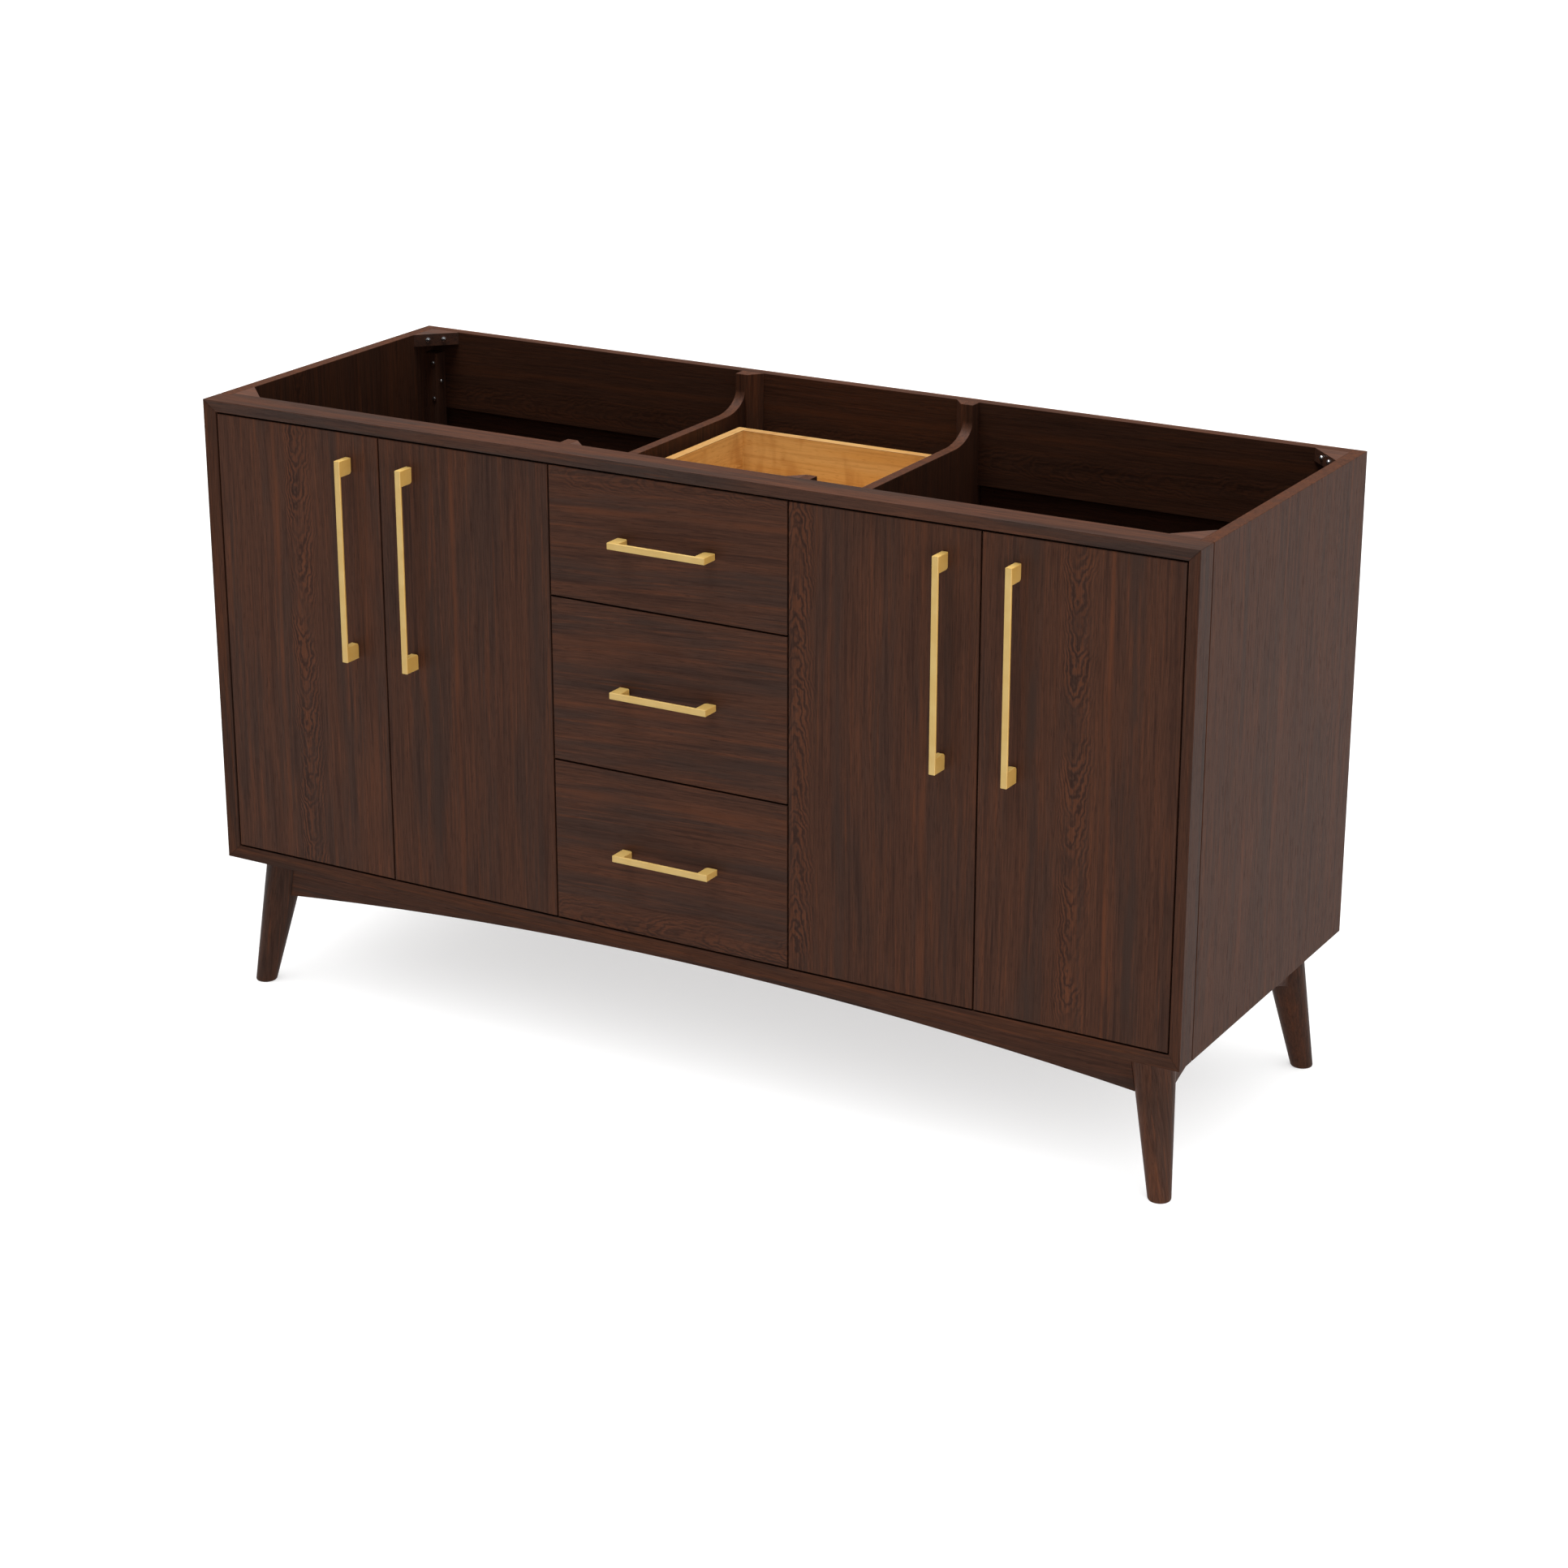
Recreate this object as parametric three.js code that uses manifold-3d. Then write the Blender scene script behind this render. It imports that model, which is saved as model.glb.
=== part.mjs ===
// Double bathroom vanity cabinet without its top: a mitred front frame, four doors and three drawers
// on splayed round legs. Millimetres, +Z up, front towards -Y. The origin is the centre of the
// footprint (pulls included) at floor level.
import * as THREE from "three";
import Module from "manifold-3d";

const wasm = await Module();
wasm.setup();

// ---- overall sizes ----
const CASE_W = 1524;
const CASE_D = 546;
const CASE_H = 688.5;
const LEG_H = 200.5;
const FRONT_Y = -262; // plane of the frame's outer front edges
const BACK_Y = FRONT_Y + CASE_D;
const FLOOR_Z = LEG_H; // underside of the case
const TOP_Z = FLOOR_Z + CASE_H;
const HALF_W = CASE_W / 2;

// ---- boards ----
const FRAME_T = 17.5; // face width of the front frame
const STILE_D = 38.5; // depth of the frame's boards, up to the groove on the side
const TOP_RAIL_D = 48.2;
const SIDE_T = 18.5;
const GROOVE_W = 2.2;
const GROOVE_DEEP = 3;
const BACK_RAIL_T = 12;
const BACK_RAIL_H = 120;
const BACK_PANEL_T = 5.4;
const BACK_INSIDE_Y = BACK_Y - BACK_PANEL_T - BACK_RAIL_T;

// ---- fronts ----
const RECESS = 5; // the frame's face slopes back this far to its inner edge, flush with the fronts
const FRONT_T = 19;
const GAP = 2.5;
const DOOR_W = 276.6;
const DRAWER_W = 367.6;
const LOW_FRONT_H = 231.5;
const TOP_FRONT_H = 180.5;
const EASE = 0.7; // eased front edges
const FRONTS_Y = FRONT_Y + RECESS;
const FRONTS_BACK_Y = FRONTS_Y + FRONT_T;
const OPEN_Z0 = FLOOR_Z + FRAME_T;
const OPEN_Z1 = TOP_Z - FRAME_T;

// ---- partitions ----
const PART_T = 15.5;
const PART_FACE = 177.2; // from the centre plane to a partition's face on the drawer side
const PART_FRONT_Y = FRONT_Y + 28;
const PART_DIP = 52; // how far the dipped edge lies below the case top
const PART_END = 20; // length of each raised end along the depth
const CURVE_LONG = 53;
const CURVE_HIGH = 28;
const CURVE_STEPS = 14;

// ---- blocks and posts ----
const BLOCK_T = 18.5;
const FRONT_BLOCK_LEG = 45;
const REAR_BLOCK_LEG = 49;
const SMALL_BLOCK_LEG = 20;
const SMALL_POST_NOSE = 3.5;
const POST = 22;
const POST_DROP = 32; // from the case top to the top of the square post

// ---- base ----
const LEG_TOP = [63.4, 60.6]; // centre of the leg's top circle, in from the case's corner
const LEG_FOOT = [33.4, 30.5];
const LEG_TOP_R = 30.5;
const LEG_FOOT_R = 15.6;
const LEG_SIDES = 40;
const FOOT_ROUND = 2.4;
const APRON_T = 18;
const APRON_BACKSET = 42;
const APRON_MID = 25.5;
const APRON_BOW = 35;
const APRON_HALF = 671;
const SIDE_APRON_MID = 24.5;
const SIDE_APRON_BOW = 39.5;
const SIDE_APRON_HALF = 195;
const APRON_STEPS = 20;
const LEG_CLEAR = 0.3;

// ---- drawers ----
const BOX_WALL = 14.5;
const BOX_SIDE_GAP = 13.2; // each side, filled by the runners
const BOX_BACK_Y = FRONT_Y + 470;
const BOX_BOTTOM_T = 6;
const BOX_BOTTOM_UP = 12;
const BOX_GROOVE = 6;
const BOX_SLACK = 0.4;
const TOP_BOX_H = 121;
const LOW_BOX_H = 170;
const BOX_LIFT = 12; // from the front's lower edge to the box's
const RUNNER_T = 8.5;
const RUNNER_H = 45;
const RUNNER_UP = 35;
const RUNNER_BACK = 8;

// ---- pulls ----
const PULL_FACE = 9.4;
const PULL_REACH = 27;
const PULL_BAR = 3.2;
const PULL_EASE = 0.6;
const PULL_ROUND = 4.5;
const ROUND_STEPS = 6;
const DOOR_PULL_L = 290;
const DOOR_PULL_FOOT = 22.5;
const DOOR_PULL_IN = 50;
const DOOR_PULL_Z = FLOOR_Z + 490;
const DRAWER_PULL_L = 150.5;
const DRAWER_PULL_FOOT = 16.5;

// ---- materials ----
const walnut = new THREE.MeshStandardMaterial({ color: 0x4a322a, roughness: 0.55 });
const maple = new THREE.MeshStandardMaterial({ color: 0xd9a565, roughness: 0.6 });
const brass = new THREE.MeshStandardMaterial({ color: 0xcdb26e, roughness: 0.35, metalness: 1 });
const steel = new THREE.MeshStandardMaterial({ color: 0xb8babd, roughness: 0.35, metalness: 1 });

const part = new THREE.Group();
part.name = "vanity_cabinet";

function add(name, geometry, material) {
  const mesh = new THREE.Mesh(geometry, material);
  mesh.name = name;
  part.add(mesh);
}

// Skin through equal rings of points, closed by a flat cap at each end.
function loft(rings) {
  const count = rings[0].length;
  const triangles = [];
  const put = (...corners) => corners.forEach((corner) => triangles.push(...corner));
  for (let level = 0; level + 1 < rings.length; level += 1) {
    const low = rings[level];
    const high = rings[level + 1];
    for (let i = 0; i < count; i += 1) {
      const j = (i + 1) % count;
      put(low[i], low[j], high[j]);
      put(low[i], high[j], high[i]);
    }
  }
  const first = rings[0];
  const last = rings[rings.length - 1];
  for (let i = 1; i + 1 < count; i += 1) {
    put(first[0], first[i + 1], first[i]);
    put(last[0], last[i], last[i + 1]);
  }
  const geometry = new THREE.BufferGeometry();
  geometry.setAttribute("position", new THREE.Float32BufferAttribute(triangles, 3));
  geometry.computeVertexNormals();
  return geometry;
}

function box(x0, x1, y0, y1, z0, z1) {
  const ring = (z) => [[x0, y0, z], [x1, y0, z], [x1, y1, z], [x0, y1, z]];
  return loft([ring(z0), ring(z1)]);
}

// A board whose four front edges are eased.
function easedBoard(x0, x1, y0, y1, z0, z1) {
  const ring = (y, e) => [
    [x0 + e, y, z0 + e],
    [x0 + e, y, z1 - e],
    [x1 - e, y, z1 - e],
    [x1 - e, y, z0 + e],
  ];
  return loft([ring(y0, EASE), ring(y0 + EASE, 0), ring(y1, 0)]);
}

// Outline of [a, b] points pushed along one axis. Along x the outline lies in (y, z),
// along y in (x, z), and along z in (x, y).
function prism(outline, axis, from, to, bevel = 0) {
  const shape = new THREE.Shape(outline.map(([a, b]) => new THREE.Vector2(a, b)));
  const geometry = new THREE.ExtrudeGeometry(shape, {
    depth: to - from - 2 * bevel,
    bevelEnabled: bevel > 0,
    bevelSegments: 1,
    bevelSize: bevel,
    bevelThickness: bevel,
    bevelOffset: -bevel,
    steps: 1,
  });
  geometry.translate(0, 0, bevel);
  if (axis === "z") {
    geometry.translate(0, 0, from);
    return geometry;
  }
  const turn = new THREE.Matrix4();
  if (axis === "x") {
    turn.set(0, 0, 1, from, 1, 0, 0, 0, 0, 1, 0, 0, 0, 0, 0, 1);
  } else {
    turn.set(1, 0, 0, 0, 0, 0, -1, to, 0, 1, 0, 0, 0, 0, 0, 1);
  }
  return geometry.applyMatrix4(turn);
}

function toSolid(geometry) {
  const points = geometry.index ? geometry.toNonIndexed() : geometry;
  const values = points.getAttribute("position");
  const mesh = new wasm.Mesh({
    numProp: 3,
    vertProperties: new Float32Array(values.array),
    triVerts: Uint32Array.from({ length: values.count }, (_, i) => i),
  });
  mesh.merge();
  return new wasm.Manifold(mesh);
}

function fromSolid(solid) {
  const mesh = solid.getMesh();
  const geometry = new THREE.BufferGeometry();
  const points = Float32Array.from(mesh.vertProperties);
  geometry.setAttribute("position", new THREE.BufferAttribute(points, 3));
  geometry.setIndex(new THREE.BufferAttribute(Uint32Array.from(mesh.triVerts), 1));
  geometry.computeVertexNormals();
  return geometry;
}

function subtract(geometry, ...cutters) {
  return fromSolid(cutters.reduce((solid, cut) => solid.subtract(toSolid(cut)), toSolid(geometry)));
}

function join(...geometries) {
  const [first, ...rest] = geometries.map(toSolid);
  return fromSolid(rest.reduce((solid, other) => solid.add(other), first));
}

// The same geometry on the other side of the centre plane.
function mirrored(geometry) {
  const points = geometry.index ? geometry.toNonIndexed() : geometry.clone();
  const values = points.getAttribute("position");
  for (let i = 0; i < values.count; i += 3) {
    const [x1, y1, z1] = [values.getX(i + 1), values.getY(i + 1), values.getZ(i + 1)];
    const [x2, y2, z2] = [values.getX(i + 2), values.getY(i + 2), values.getZ(i + 2)];
    values.setX(i, -values.getX(i));
    values.setXYZ(i + 1, -x2, y2, z2);
    values.setXYZ(i + 2, -x1, y1, z1);
  }
  points.computeVertexNormals();
  return points;
}

function addPair(name, geometry, material) {
  add(`${name}_left`, geometry, material);
  add(`${name}_right`, mirrored(geometry), material);
}

// ---- mitred front frame ----
const frameBackY = FRONT_Y + STILE_D;
// A mitred frame board from its outer corners to its inner ones, which sit further back at the front.
// Corners are [x, z], two outer and then two inner, clockwise as seen from the front.
function frameBoard(corners) {
  const front = corners.map(([x, z], i) => [x, i < 2 ? FRONT_Y : FRONTS_Y, z]);
  const back = corners.map(([x, z]) => [x, frameBackY, z]);
  return loft([front, back]);
}
const innerX = HALF_W - FRAME_T;
const topCorners = [[-HALF_W, TOP_Z], [HALF_W, TOP_Z], [innerX, OPEN_Z1], [-innerX, OPEN_Z1]];
const bottomCorners = [[HALF_W, FLOOR_Z], [-HALF_W, FLOOR_Z], [-innerX, OPEN_Z0], [innerX, OPEN_Z0]];
const leftCorners = [[-HALF_W, FLOOR_Z], [-HALF_W, TOP_Z], [-innerX, OPEN_Z1], [-innerX, OPEN_Z0]];
const topRailBack = box(
  -HALF_W + SIDE_T, HALF_W - SIDE_T, frameBackY - STILE_D / 2, FRONT_Y + TOP_RAIL_D, OPEN_Z1, TOP_Z,
);
add("frame_top_rail", join(frameBoard(topCorners), topRailBack), walnut);
add("frame_bottom_rail", frameBoard(bottomCorners), walnut);
addPair("frame_stile", frameBoard(leftCorners), walnut);

// ---- side panels, each with a narrow groove beside the frame ----
const sideOutline = [
  [-HALF_W + GROOVE_DEEP, frameBackY],
  [-HALF_W + SIDE_T, frameBackY],
  [-HALF_W + SIDE_T, BACK_Y],
  [-HALF_W, BACK_Y],
  [-HALF_W, frameBackY + GROOVE_W],
  [-HALF_W + GROOVE_DEEP, frameBackY + GROOVE_W],
];
addPair("side_panel", prism(sideOutline, "z", FLOOR_Z, TOP_Z), walnut);

// ---- floor and back ----
const insideX = HALF_W - SIDE_T;
const panelFrontY = BACK_Y - BACK_PANEL_T;
const backRailZ = TOP_Z - BACK_RAIL_H;
add("bottom_panel", box(-insideX, insideX, frameBackY, panelFrontY, FLOOR_Z, OPEN_Z0), walnut);
add("back_rail", box(-insideX, insideX, BACK_INSIDE_Y, panelFrontY, backRailZ, TOP_Z), walnut);
add("back_panel", box(-insideX, insideX, panelFrontY, BACK_Y, FLOOR_Z, TOP_Z), walnut);

// ---- partitions: the top edge dips between two raised ends ----
const dipZ = TOP_Z - PART_DIP;
const railBackY = FRONT_Y + TOP_RAIL_D;
const endFrontY = railBackY + PART_END;
const endRearY = BACK_INSIDE_Y - PART_END;
function dipCurve(endY, direction) {
  const points = [];
  for (let i = 0; i <= CURVE_STEPS; i += 1) {
    const angle = (i / CURVE_STEPS) * (Math.PI / 2);
    const along = CURVE_LONG * (1 - Math.cos(angle));
    const down = CURVE_HIGH * Math.sin(angle);
    points.push([endY + direction * along, dipZ + CURVE_HIGH - down]);
  }
  return points;
}
const partitionOutline = [
  [PART_FRONT_Y, OPEN_Z0],
  [panelFrontY, OPEN_Z0],
  [panelFrontY, backRailZ],
  [BACK_INSIDE_Y, backRailZ],
  [BACK_INSIDE_Y, TOP_Z],
  [endRearY, TOP_Z],
  ...dipCurve(endRearY, -1),
  ...dipCurve(endFrontY, 1).reverse(),
  [endFrontY, TOP_Z],
  [railBackY, TOP_Z],
  [railBackY, OPEN_Z1],
  [PART_FRONT_Y, OPEN_Z1],
];
const partitionOuterX = -PART_FACE - PART_T;
addPair("partition", prism(partitionOutline, "x", partitionOuterX, -PART_FACE), walnut);

// ---- triangular blocks flush with the top ----
const blockZ = TOP_Z - BLOCK_T;
function wedge(x, y, legX, legY) {
  const corner = [[x, y], [x + legX, y], [x, y + legY]];
  return legX * legY > 0 ? corner : corner.reverse();
}
addPair(
  "corner_block_front",
  prism(wedge(-insideX, railBackY, FRONT_BLOCK_LEG, FRONT_BLOCK_LEG), "z", blockZ, TOP_Z),
  walnut,
);
addPair(
  "corner_block_rear",
  prism(wedge(-insideX, BACK_INSIDE_Y, REAR_BLOCK_LEG, -REAR_BLOCK_LEG), "z", blockZ, TOP_Z),
  walnut,
);
addPair(
  "partition_block",
  prism(wedge(-PART_FACE, railBackY, SMALL_BLOCK_LEG, SMALL_BLOCK_LEG), "z", blockZ, TOP_Z),
  walnut,
);

// ---- posts in the rear corners ----
const smallPost = [
  [-PART_FACE, BACK_INSIDE_Y - SMALL_BLOCK_LEG],
  [-PART_FACE + SMALL_POST_NOSE, BACK_INSIDE_Y - SMALL_BLOCK_LEG],
  [-PART_FACE + SMALL_BLOCK_LEG, BACK_INSIDE_Y],
  [-PART_FACE, BACK_INSIDE_Y],
];
addPair("partition_post", prism(smallPost, "z", OPEN_Z0, TOP_Z), walnut);
addPair(
  "corner_post",
  box(-insideX, -insideX + POST, BACK_INSIDE_Y - POST, BACK_INSIDE_Y, OPEN_Z0, TOP_Z - POST_DROP),
  walnut,
);

// ---- splayed legs: level circles whose centres run outwards towards the floor ----
// The corner is the case corner the leg belongs to; the signs point from it into the case.
function leg(cornerX, cornerY, signX, signY, extra = 0) {
  const ring = (z, shrink) => {
    const up = z / LEG_H;
    const x = cornerX + signX * (LEG_FOOT[0] + (LEG_TOP[0] - LEG_FOOT[0]) * up);
    const y = cornerY + signY * (LEG_FOOT[1] + (LEG_TOP[1] - LEG_FOOT[1]) * up);
    const radius = LEG_FOOT_R + (LEG_TOP_R - LEG_FOOT_R) * up - shrink + extra;
    return Array.from({ length: LEG_SIDES }, (_, i) => {
      const angle = (2 * Math.PI * i) / LEG_SIDES;
      return [x + radius * Math.cos(angle), y + radius * Math.sin(angle), z];
    });
  };
  return loft([ring(0, FOOT_ROUND), ring(FOOT_ROUND / 3, FOOT_ROUND / 3), ring(FOOT_ROUND, 0), ring(LEG_H, 0)]);
}
addPair("leg_front", leg(-HALF_W, FRONT_Y, 1, 1), walnut);
addPair("leg_rear", leg(-HALF_W, BACK_Y, 1, -1), walnut);

// ---- arched aprons, cut to the round of the legs ----
function arch(middle, half, ends, drop, bow, bowHalf) {
  const points = [[middle + ends, FLOOR_Z], [middle - ends, FLOOR_Z]];
  for (let i = 0; i <= APRON_STEPS; i += 1) {
    const along = -ends + (2 * ends * i) / APRON_STEPS;
    points.push([middle + along, FLOOR_Z - drop - bow * (along / bowHalf) ** 2]);
  }
  return points;
}
const legs = [
  leg(-HALF_W, FRONT_Y, 1, 1, LEG_CLEAR),
  leg(HALF_W, FRONT_Y, -1, 1, LEG_CLEAR),
  leg(-HALF_W, BACK_Y, 1, -1, LEG_CLEAR),
  leg(HALF_W, BACK_Y, -1, -1, LEG_CLEAR),
];
const apronEnds = HALF_W - LEG_TOP[0];
const longArch = arch(0, HALF_W, apronEnds, APRON_MID, APRON_BOW, APRON_HALF);
const apronY = FRONT_Y + APRON_BACKSET;
add("apron_front", subtract(prism(longArch, "y", apronY, apronY + APRON_T), ...legs), walnut);
const apronRearY = BACK_Y - APRON_BACKSET;
add("apron_rear", subtract(prism(longArch, "y", apronRearY - APRON_T, apronRearY), ...legs), walnut);
const middleY = (FRONT_Y + BACK_Y) / 2;
const sideEnds = CASE_D / 2 - LEG_TOP[1];
const shortArch = arch(middleY, CASE_D / 2, sideEnds, SIDE_APRON_MID, SIDE_APRON_BOW, SIDE_APRON_HALF);
const apronX = -HALF_W + APRON_BACKSET;
addPair("apron_side", subtract(prism(shortArch, "x", apronX, apronX + APRON_T), ...legs), walnut);

// ---- bar pulls: a flat bar on two feet whose inner rear corners are rounded ----
// Outline in (length, reach): reach 0 is the front's face and reach PULL_REACH is the bar's face.
function pullOutline(length, foot) {
  const inner = PULL_REACH - PULL_BAR;
  const rounded = (endX, direction) => {
    const points = [];
    for (let i = 0; i <= ROUND_STEPS; i += 1) {
      const angle = (i / ROUND_STEPS) * (Math.PI / 2);
      const x = endX + direction * (foot - PULL_ROUND + PULL_ROUND * Math.sin(angle));
      points.push([x, PULL_ROUND * (1 - Math.cos(angle))]);
    }
    return points;
  };
  const half = length / 2;
  return [
    [-half, 0],
    ...rounded(-half, 1),
    [-half + foot, inner],
    [half - foot, inner],
    ...rounded(half, -1).reverse(),
    [half, 0],
    [half, PULL_REACH],
    [-half, PULL_REACH],
  ];
}
function doorPull(x) {
  const outline = pullOutline(DOOR_PULL_L, DOOR_PULL_FOOT)
    .map(([along, reach]) => [FRONTS_Y - reach, DOOR_PULL_Z + along]);
  return prism(outline, "x", x - PULL_FACE / 2, x + PULL_FACE / 2, PULL_EASE);
}
function drawerPull(z) {
  const outline = pullOutline(DRAWER_PULL_L, DRAWER_PULL_FOOT)
    .map(([along, reach]) => [along, FRONTS_Y - reach]);
  return prism(outline, "z", z - PULL_FACE / 2, z + PULL_FACE / 2, PULL_EASE);
}

// ---- doors: numbered 1 to 4 from the left, pulls near the meeting edges of each pair ----
const doorZ0 = OPEN_Z0 + GAP;
const doorZ1 = OPEN_Z1 - GAP;
const outerDoorX = -HALF_W + FRAME_T + GAP;
const innerDoorX = outerDoorX + DOOR_W + GAP;
const door = (x) => easedBoard(x, x + DOOR_W, FRONTS_Y, FRONTS_BACK_Y, doorZ0, doorZ1);
add("door_1", door(outerDoorX), walnut);
add("door_2", door(innerDoorX), walnut);
add("door_3", mirrored(door(innerDoorX)), walnut);
add("door_4", mirrored(door(outerDoorX)), walnut);
const outerPullX = outerDoorX + DOOR_W - DOOR_PULL_IN;
const innerPullX = innerDoorX + DOOR_PULL_IN;
add("door_pull_1", doorPull(outerPullX), brass);
add("door_pull_2", doorPull(innerPullX), brass);
add("door_pull_3", mirrored(doorPull(innerPullX)), brass);
add("door_pull_4", mirrored(doorPull(outerPullX)), brass);

// ---- drawers: front, pull, four-wall box, loose bottom and a pair of runners ----
const boxHalfW = PART_FACE - BOX_SIDE_GAP;
const boxInHalfW = boxHalfW - BOX_WALL;
function drawer(name, z0, frontH, boxH) {
  const front = easedBoard(-DRAWER_W / 2, DRAWER_W / 2, FRONTS_Y, FRONTS_BACK_Y, z0, z0 + frontH);
  add(`drawer_front_${name}`, front, walnut);
  add(`drawer_pull_${name}`, drawerPull(z0 + frontH / 2), brass);
  const boxZ0 = z0 + BOX_LIFT;
  const boxZ1 = boxZ0 + boxH;
  const inY0 = FRONTS_BACK_Y + BOX_WALL;
  const inY1 = BOX_BACK_Y - BOX_WALL;
  const bottomZ = boxZ0 + BOX_BOTTOM_UP;
  const walls = box(-boxHalfW, boxHalfW, FRONTS_BACK_Y, BOX_BACK_Y, boxZ0, boxZ1);
  const hollow = box(-boxInHalfW, boxInHalfW, inY0, inY1, boxZ0 - 1, boxZ1 + 1);
  const groove = box(
    -boxInHalfW - BOX_GROOVE, boxInHalfW + BOX_GROOVE, inY0 - BOX_GROOVE, inY1 + BOX_GROOVE,
    bottomZ - BOX_SLACK / 2, bottomZ + BOX_BOTTOM_T + BOX_SLACK / 2,
  );
  add(`drawer_box_${name}`, subtract(walls, hollow, groove), maple);
  const reach = BOX_GROOVE - BOX_SLACK;
  add(
    `drawer_bottom_${name}`,
    box(
      -boxInHalfW - reach, boxInHalfW + reach, inY0 - reach, inY1 + reach,
      bottomZ, bottomZ + BOX_BOTTOM_T,
    ),
    maple,
  );
  const runnerZ = boxZ0 + RUNNER_UP;
  const runner = box(
    -PART_FACE, -PART_FACE + RUNNER_T, PART_FRONT_Y, BOX_BACK_Y - RUNNER_BACK,
    runnerZ, runnerZ + RUNNER_H,
  );
  addPair(`runner_${name}`, runner, steel);
}
const bottomDrawerZ = doorZ0;
const middleDrawerZ = bottomDrawerZ + LOW_FRONT_H + GAP;
const topDrawerZ = middleDrawerZ + LOW_FRONT_H + GAP;
drawer("top", topDrawerZ, TOP_FRONT_H, TOP_BOX_H);
drawer("middle", middleDrawerZ, LOW_FRONT_H, LOW_BOX_H);
drawer("bottom", bottomDrawerZ, LOW_FRONT_H, LOW_BOX_H);

export default part;
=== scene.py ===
"""Looks of the double bathroom vanity: walnut, maple drawer boxes, brass pulls, hinges, slides and screws.
"""
import math

import bmesh
import bpy
from mathutils import Matrix, Vector


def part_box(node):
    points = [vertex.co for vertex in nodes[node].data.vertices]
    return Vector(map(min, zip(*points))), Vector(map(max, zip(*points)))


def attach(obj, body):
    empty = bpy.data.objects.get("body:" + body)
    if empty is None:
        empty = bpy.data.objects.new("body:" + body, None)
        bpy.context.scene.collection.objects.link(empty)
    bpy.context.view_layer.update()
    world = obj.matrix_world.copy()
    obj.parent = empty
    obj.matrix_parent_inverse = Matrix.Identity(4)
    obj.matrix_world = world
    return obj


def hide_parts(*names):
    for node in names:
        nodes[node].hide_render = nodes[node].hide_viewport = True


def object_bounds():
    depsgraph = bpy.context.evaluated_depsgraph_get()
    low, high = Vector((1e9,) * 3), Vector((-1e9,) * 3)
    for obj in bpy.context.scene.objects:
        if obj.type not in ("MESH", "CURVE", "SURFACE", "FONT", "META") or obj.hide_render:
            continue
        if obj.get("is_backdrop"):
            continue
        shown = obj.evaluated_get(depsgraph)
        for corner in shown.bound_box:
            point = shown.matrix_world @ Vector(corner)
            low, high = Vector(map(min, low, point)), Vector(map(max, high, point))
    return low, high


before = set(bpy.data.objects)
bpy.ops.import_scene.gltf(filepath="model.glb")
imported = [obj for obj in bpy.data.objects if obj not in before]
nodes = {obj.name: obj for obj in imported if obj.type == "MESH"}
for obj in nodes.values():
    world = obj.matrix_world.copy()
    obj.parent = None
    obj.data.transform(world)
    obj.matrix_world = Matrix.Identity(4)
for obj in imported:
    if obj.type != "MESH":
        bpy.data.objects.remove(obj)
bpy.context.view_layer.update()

MM = 0.001
AXES = "xyz"

# ------------------------------------------------------------------ colours, linear
BROWN = (0.082, 0.0335, 0.0193, 1)
GREY_BROWN = (0.054, 0.0290, 0.0210, 1)
RED_BROWN = (0.134, 0.0450, 0.0202, 1)
DARK_BROWN = (0.032, 0.0140, 0.0098, 1)
MAPLE = (0.62, 0.338, 0.094, 1)
MAPLE_DARK = (0.39, 0.168, 0.036, 1)
MAPLE_PALE = (0.66, 0.405, 0.142, 1)
RIM_PAINTED_SHADE = (0.50, 0.48, 0.48, 1)
BRASS = (0.445, 0.300, 0.089, 1)
BRASS_PALE = (0.475, 0.332, 0.113, 1)
STEEL = (0.62, 0.63, 0.65, 1)
STEEL_DULL = (0.42, 0.43, 0.45, 1)
# Painted shade: near-black tones for the hollows of screw recesses and hinge cups.
RECESS_SHADE_DEEP = (0.02, 0.02, 0.022, 1)
RECESS_SHADE_PALE = (0.05, 0.05, 0.055, 1)
CARD_WARMTH = (1.0, 0.60, 0.15)
FLOOR_DARK = (0.50, 0.50, 0.50, 1)
FLOOR_LIGHT = (0.53, 0.53, 0.53, 1)

# ------------------------------------------------------------------ strengths of light and gloss
ROOM_GLOW = 0.22
OVERHEAD = 7.2
TABLE_GLOW = 0.56
TABLE_DOME = 5.9
SIDE_BOX = 42.0
PULL_GLOW = 3.3
WALNUT_TONE = 0.775
WALNUT_GLOSS = 0.05
GLOSS_BY_START = (
    ("side_panel", 0.027),
    ("frame_stile", 0.037),
    ("frame_top_rail", 0.07),
    ("corner_block", 0.165),
    ("partition_block", 0.165),
)


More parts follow.
